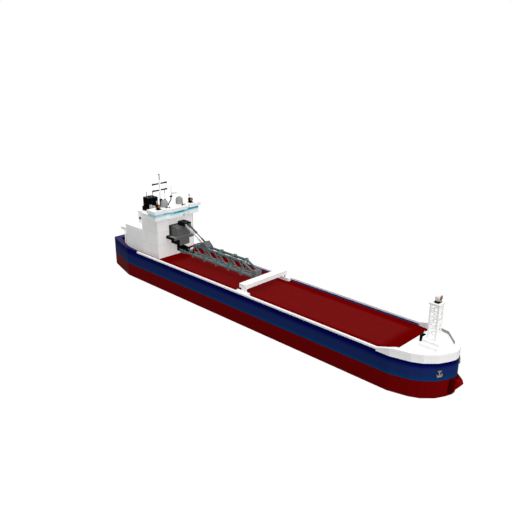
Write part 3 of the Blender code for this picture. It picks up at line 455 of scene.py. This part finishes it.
def bulge(centre, radius, depth, sides=24):
    """A shallow lens looking to the bow."""
    shape = bmesh.new()
    steps = 5
    loops = []
    for i in range(steps):
        a = math.pi / 2 * i / steps
        reach = radius * math.cos(a)
        rise = depth * math.sin(a)
        loops.append([shape.verts.new((rise, reach * math.cos(b), reach * math.sin(b)))
                      for b in (2 * math.pi * j / sides for j in range(sides))])
    tip = shape.verts.new((depth, 0, 0))
    for low, high in zip(loops, loops[1:]):
        for j in range(sides):
            k = (j + 1) % sides
            shape.faces.new((low[j], low[k], high[k], high[j]))
    for j in range(sides):
        shape.faces.new((loops[-1][j], loops[-1][(j + 1) % sides], tip))
    shape.faces.new(loops[0])
    shape.transform(Matrix.Translation(centre))
    return shape


def finish_nodes():
    """A material for every solid of the model."""
    white = brick_plastic("white_bricks", WHITE, 4 * STUD, 3 * BRICK, 0.0002, 0.62, 0.02, 0.3)
    white_small = brick_plastic("white_plates", WHITE, 4 * STUD, BRICK, 0.00014, 0.75, 0.02, 0.3)
    navy = navy_side()
    red = brick_plastic("hull_red_bricks", SHELL_RED, 16 * STUD, 3 * BRICK, 0.0002, 0.5, 0.04, 0.34, (0.052, 0))
    black = moulded("black_plastic", BLACK, 0.35, 0.2)
    grey = brick_plastic("dark_grey_bricks", DARK_GREY, 2 * STUD, BRICK, 0.00014, 0.7, 0.06, 0.35, (0.002, 0))
    light = moulded("light_grey_plastic", LIGHT_GREY, 0.3)
    dome = moulded("dome_plastic", DOME_GREY, 0.3)
    boom = boom_plastic()
    finishes = {
        # Bulb: painted shade in dark red at its root, painted light in brighter red forward of it
        "hull_lower": red, "bulbous_bow": two_tone("bulb_plastic", shaded(SHELL_RED, 0.35), BULB_LIT_RED, "X",
                                                   0.4225, 0.4290),
        "hull_upper": navy, "bulwark_starboard": navy,
        "bulwark_port": navy, "stern_bulwark": navy, "bow_band": navy, "deck": deck_plates(),
        "rail_starboard": white_small, "rail_port": white_small, "forecastle_rail": bow_rail_plastic(),
        "forecastle_deck": white, "foremast_step": white_small, "foremast": moulded("white_lattice", WHITE, 0.3, 0.02),
        "house_front": white, "house_back": white, "house_side_starboard": white, "house_side_port": white,
        "aft_house_side_starboard": white, "aft_house_side_port": white, "aft_house_back": white,
        "aft_house_roof": white, "engine_casing": white, "boat_deck": white_small, "bridge_floor": white,
        "bridge_roof": white_small, "bridge_windows": window_band(), "funnel": black, "main_mast": mast_plastic(),
        "dome_starboard": dome, "dome_port": dome, "wing_searchlight_starboard": black,
        "wing_searchlight_port": black,
        "fore_searchlight": two_tone("fore_light_plastic", BLACK, WHITE, "Z", 0.1390, 0.1393),
        "deck_lamp": two_tone("deck_lamp_plastic", BLACK, PALE_BLUE, "Z", 0.0803, 0.0806),
        "anchor_starboard": moulded("anchor_plastic", srgb(150, 145, 120), 0.35),
        "anchor_port": moulded("anchor_plastic_port", srgb(150, 145, 120), 0.35),
        "hopper": hopper_plastic(), "turret": black,
        "cylinder_bracket": two_tone("bracket_plastic", DARK_GREY, BLACK, "Z", 0.1303, 0.1308), "boom_lattice": boom,
        "boom_head": moulded("boom_head_plastic", shaded(DARK_GREY, 1.1), 0.36),
        "boom_saddle": grey, "luff_barrel_starboard": light, "luff_rod_starboard": light,
        "luff_barrel_port": moulded("dark_cylinder", shaded(DARK_GREY, 0.8), 0.3),
        "luff_rod_port": moulded("dark_rod", shaded(DARK_GREY, 0.9), 0.3),
        "gantry": white_small, "propeller": moulded("bronze_plastic", (0.42, 0.27, 0.10, 1), 0.3, 0.12),
        "rudder": red,
    }
    for node, material in finishes.items():
        paint(node, material)
    return {"black": black, "light": light, "boom_dark": moulded("boom_dark_plastic", BOOM_DARK, 0.36, 0.2),
            "boom_plate": moulded("boom_plate_plastic", BOOM_PLATE, 0.36, 0.15),
            "boom_pale": moulded("boom_pale_plastic", BOOM_PALE, 0.34, 0.15)}


def dress_lights():
    """Lenses on the three searchlights."""
    lens = lens_glass()
    for node, name in (("fore_searchlight", "fore_lens"), ("wing_searchlight_starboard", "wing_lens_starboard"),
                       ("wing_searchlight_port", "wing_lens_port")):
        low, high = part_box(node)
        radius = (high.y - low.y) / 2
        centre = Vector((high.x - 0.0002, (low.y + high.y) / 2, high.z - radius))
        add(name, bulge(centre, 0.86 * radius, 0.0011), lens)


def dress_roof(finishes):
    """Levers, aerials, a radar loop and lockers on and behind the bridge roof."""
    black, light = finishes["black"], finishes["light"]
    roof = BRIDGE_ROOF
    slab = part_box("bridge_floor")[1].z
    for name, foot, knob in ROOF_LEVERS:
        lever = gather(rod((*foot, roof), (*foot, roof + 0.0028), 0.0016, 0.0013),
                       rod((*foot, roof + 0.0014), (*knob, roof + 0.0012), 0.00045),
                       rod((*knob, roof), (*knob, roof + 0.0020), 0.0012))
        add("roof_lever_" + name, lever, black)
    add("roof_locker_port", box((-0.2392, -0.2360), (0.0186, 0.0222), (roof, roof + 0.0030)), light)

    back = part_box("bridge_roof")[0].x + 0.0012
    bend = [(back, -0.0048, roof), (back, -0.0038, roof + 0.0039), (back, 0.0024, roof + 0.0104),
            (back, 0.0029, roof + 0.0165)]
    head = box((back - 0.0016, back + 0.0016), (0.0004, 0.0056), (roof + 0.0163, roof + 0.0192))
    add("radar_stand", gather(tube(bend, 0.0011), head), black)
    add("radar_whip", rod((back, 0.0034, roof + 0.0190), (back, 0.0038, roof + 0.0398), 0.00045), light)
    loop_level = roof + 0.0236
    loop = gather(ring((back, 0.0112, loop_level), 0.0058, 0.0005),
                  rod((back, 0.0046, roof + 0.0188), (back, 0.0056, loop_level), 0.0005))
    add("radar_loop", loop, light)

    x, y = AERIAL_PLACE
    crossbar = box((x - 0.001, x + 0.001), (y - 0.0022, y + 0.0022), (roof + 0.0105, roof + 0.0122))
    add("aerial_starboard", gather(rod((x, y, slab), (x, y, roof + 0.0110), 0.0011), crossbar,
                                   rod((x, y, roof + 0.0255), (x, y, roof + 0.0345), 0.0006)), black)
    add("aerial_starboard_pole", rod((x, y, roof + 0.0110), (x, y, roof + 0.0257), 0.00035), light)

    add("locker_black", box((-0.2920, -0.2862), (-0.0052, -0.0012), (slab, slab + 0.0155)), black)
    for k, (x, y, high) in enumerate(PALE_LOCKERS):
        add("locker_pale_%d" % k, box((x - 0.0025, x + 0.0025), (y - 0.0024, y + 0.0024), (slab, slab + high)), light)


def dress_searchlights(finishes):
    """Clamps under the bridge's searchlights and a handle above each."""
    for side in ("starboard", "port"):
        low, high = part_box("wing_searchlight_" + side)
        y = (low.y + high.y) / 2
        along = (high.x - 0.0020, high.x + 0.0018)
        level = (BRIDGE_ROOF, BRIDGE_ROOF + 0.0012)
        clamps = gather(box(along, (y - 0.0044, y - 0.0012), level), box(along, (y + 0.0008, y + 0.0046), level))
        add("light_foot_" + side, clamps, finishes["black"])
        x = low.x + 0.0016
        grip = box((x - 0.0012, x + 0.0012), (y - 0.0016, y + 0.0016), (high.z + 0.0038, high.z + 0.0062))
        handle = rod((x, y, high.z - 0.0040), (x, y, high.z + 0.0042), 0.0008)
        add("light_handle_" + side, gather(handle, grip), finishes["light"])


def dress_house(finishes):
    """Lamp, vent and pipe on the house, whip on the funnel, and sleeves on the mast's crossbars."""
    black, light = finishes["black"], finishes["light"]
    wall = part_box("engine_casing")[0].y
    x, z = CASING_LAMP
    add("casing_lamp", rod((x, wall, z), (x, wall - 0.0016, z), 0.0029), black)
    x, z = x + 0.0015, z + 0.0010
    add("casing_lamp_glass", rod((x, wall - 0.0015, z), (x, wall - 0.0020, z), 0.0012),
        moulded("yellow_glass", YELLOW, 0.15))

    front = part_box("bridge_floor")[1].x
    add("bridge_vent", gather(*[box((front - 0.0004, front + 0.0007), (0.0100, 0.0170), (z, z + 0.0010))
                                for z in (0.1454, 0.1470, 0.1486)]), light)

    low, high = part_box("house_front")
    x, y = high.x - 0.0016, high.y + 0.0011
    clips = [box((x - 0.0010, x + 0.0010), (high.y - 0.0004, y + 0.0011), (z, z + 0.0014))
             for z in (0.080, 0.104, 0.128)]
    add("house_pipe", gather(rod((x, y, RAIL_TOP), (x, y, high.z), 0.0010), *clips), light)

    x, y = FUNNEL_WHIP
    add("funnel_whip", rod((x, y, 0.1705), (x, y, 0.1826), 0.0006), black)

    low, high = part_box("main_mast")
    x = (low.x + high.x) / 2
    knob = high.y - 0.0040
    sleeves = []
    for level in CROSSBAR_LEVELS:
        for sign in (-1, 1):
            sleeves.append(rod((x, sign * 0.0035, level), (x, sign * (high.y - 0.0006), level), 0.0015))
            sleeves.append(rod((x, sign * knob, level - 0.0012), (x, sign * knob, level + 0.0020), 0.0014))
    add("crossbar_sleeves", gather(*sleeves), black)


def dress_boom(finishes):
    """Clamps on the boom's upper chords, a walkway of slats, and plates and bars across its floor."""
    pale = finishes["boom_pale"]
    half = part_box("boom_lattice")[1].y - 0.0003
    chord_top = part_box("boom_lattice")[1].z
    clamps = []
    for x in CLAMPS_X:
        for sign, rise in ((-1, 0.0010), (1, 0.0024)):
            across = sorted((sign * half, sign * (half - 0.0034)))
            clamps.append(box((x - 0.0032, x + 0.0032), across, (chord_top - 0.0034, chord_top + rise)))
    add("boom_clamps", gather(*clamps), pale, "boom")

    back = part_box("boom_saddle")[1].x + 0.003
    count = int((WALKWAY_FRONT_X - back) / SLAT_PITCH)
    slats = [box((x, x + 0.0016), (0.0022, half - 0.0004), (chord_top - 0.0022, chord_top - 0.0008))
             for x in (back + SLAT_PITCH * k for k in range(count))]
    edge = box((back, WALKWAY_FRONT_X), (0.0018, 0.0028), (chord_top - 0.0026, chord_top - 0.0004))
    add("boom_walkway", gather(edge, *slats), finishes["boom_dark"], "boom")

    across = (0.0006 - half, half - 0.0006)
    feet = [FIRST_FOOT_X + BAY * k for k in range(BAYS)]
    plates = [box((x - 0.0075, x + 0.0075), across, (BOOM_FLOOR, BOOM_FLOOR + 0.0014)) for x in feet]
    bars = [box((x - 0.0010, x + 0.0010), across, (BOOM_FLOOR + 0.0012, BOOM_FLOOR + 0.0030)) for x in feet]
    add("boom_gussets", gather(*plates), finishes["boom_plate"], "boom")
    add("boom_floor_bars", gather(*bars), pale, "boom")


def dress_cylinders(finishes):
    """Open rings round each luffing barrel and a thicker end on each rod."""
    along = (ROD_PIN - CYLINDER_FOOT).normalized()
    turn = along.to_track_quat("Z", "Y").to_matrix().to_4x4()
    for side, sign, finish in (("starboard", -1, "light"), ("port", 1, "boom_dark")):
        shift = Vector((0, sign * CYLINDER_Y, 0))
        rings = [ring(CYLINDER_FOOT + shift + along * reach, 0.0022, 0.0004, turn) for reach in BARREL_RINGS]
        add("barrel_gland_" + side, gather(*rings), finishes[finish], "barrel_" + side)
        pin = ROD_PIN + shift
        add("rod_collar_" + side, rod(pin - along * 0.0150, pin - along * 0.0034, 0.0018), finishes[finish],
            "rod_" + side)


def seen_or_not(tree, lighting, seen, output):
    """One shader for what the camera sees, another for the light that reaches the ship."""
    ray = tree.nodes.new("ShaderNodeLightPath")
    mix = tree.nodes.new("ShaderNodeMixShader")
    tree.links.new(ray.outputs["Is Camera Ray"], mix.inputs["Fac"])
    tree.links.new(lighting, mix.inputs[1])
    tree.links.new(seen, mix.inputs[2])
    tree.links.new(mix.outputs["Shader"], output.inputs["Surface"])


def floor_material():
    """A near-white floor that throws little light up."""
    material = bpy.data.materials.new("pale_floor")
    material.use_nodes = True
    tree = material.node_tree
    tree.nodes.remove(tree.nodes["Principled BSDF"])
    bounce = tree.nodes.new("ShaderNodeBsdfDiffuse")
    bounce.inputs["Color"].default_value = (0.2, 0.2, 0.2, 1)
    shade = tree.nodes.new("ShaderNodeBsdfDiffuse")
    shade.inputs["Color"].default_value = (0.12, 0.12, 0.12, 1)
    glow = tree.nodes.new("ShaderNodeEmission")
    glow.inputs["Strength"].default_value = 0.9
    both = tree.nodes.new("ShaderNodeAddShader")
    tree.links.new(shade.outputs["BSDF"], both.inputs[0])
    tree.links.new(glow.outputs["Emission"], both.inputs[1])
    seen_or_not(tree, bounce.outputs["BSDF"], both.outputs["Shader"], tree.nodes["Material Output"])
    return material


def sun(name, reach, shadow):
    """A broad sun that adds reach.x, .y and .z to faces that look along those axes."""
    towards = Vector(reach)
    light = bpy.data.lights.new(name, "SUN")
    light.energy = math.pi * towards.length
    light.angle = math.radians(60)
    light.use_shadow = shadow
    lamp = bpy.data.objects.new(name, light)
    lamp.rotation_euler = towards.to_track_quat("Z", "Y").to_euler()
    bpy.context.scene.collection.objects.link(lamp)


def stage():
    """Pale floor, soft light from all round that is strongest from above and from the bow."""
    shape = bmesh.new()
    bmesh.ops.create_grid(shape, x_segments=1, y_segments=1, size=30.0)
    mesh = bpy.data.meshes.new("floor")
    shape.to_mesh(mesh)
    shape.free()
    floor = bpy.data.objects.new("floor", mesh)
    floor.location.z = -0.0004
    bpy.context.scene.collection.objects.link(floor)
    mesh.materials.append(floor_material())
    world = bpy.data.worlds.new("studio")
    bpy.context.scene.world = world
    world.use_nodes = True
    tree = world.node_tree
    background = tree.nodes["Background"]
    background.inputs["Color"].default_value = (1, 1, 1, 1)
    background.inputs["Strength"].default_value = SKY
    plain = tree.nodes.new("ShaderNodeBackground")
    plain.inputs["Color"].default_value = (1, 1, 1, 1)
    seen_or_not(tree, background.outputs["Background"], plain.outputs["Background"], tree.nodes["World Output"])
    sun("key", KEY, True)
    for name, reach in FILLS.items():
        sun(name, reach, False)
    bpy.context.scene.view_settings.view_transform = "Standard"


def aim_camera():
    data = bpy.data.cameras.new("photo_camera")
    data.sensor_width = 36
    data.angle = CAMERA_ANGLE
    data.clip_start = 0.01
    data.clip_end = 100
    camera = bpy.data.objects.new("photo_camera", data)
    camera.location = CAMERA_PLACE
    aim = Vector(CAMERA_AIM) - Vector(CAMERA_PLACE)
    camera.rotation_euler = aim.to_track_quat("-Z", "Y").to_euler()
    bpy.context.scene.collection.objects.link(camera)
    bpy.context.scene.camera = camera


def main():
    aim_camera()
    stage()
    finishes = finish_nodes()
    dress_lights()
    dress_roof(finishes)
    dress_searchlights(finishes)
    dress_house(finishes)
    dress_boom(finishes)
    dress_cylinders(finishes)


main()
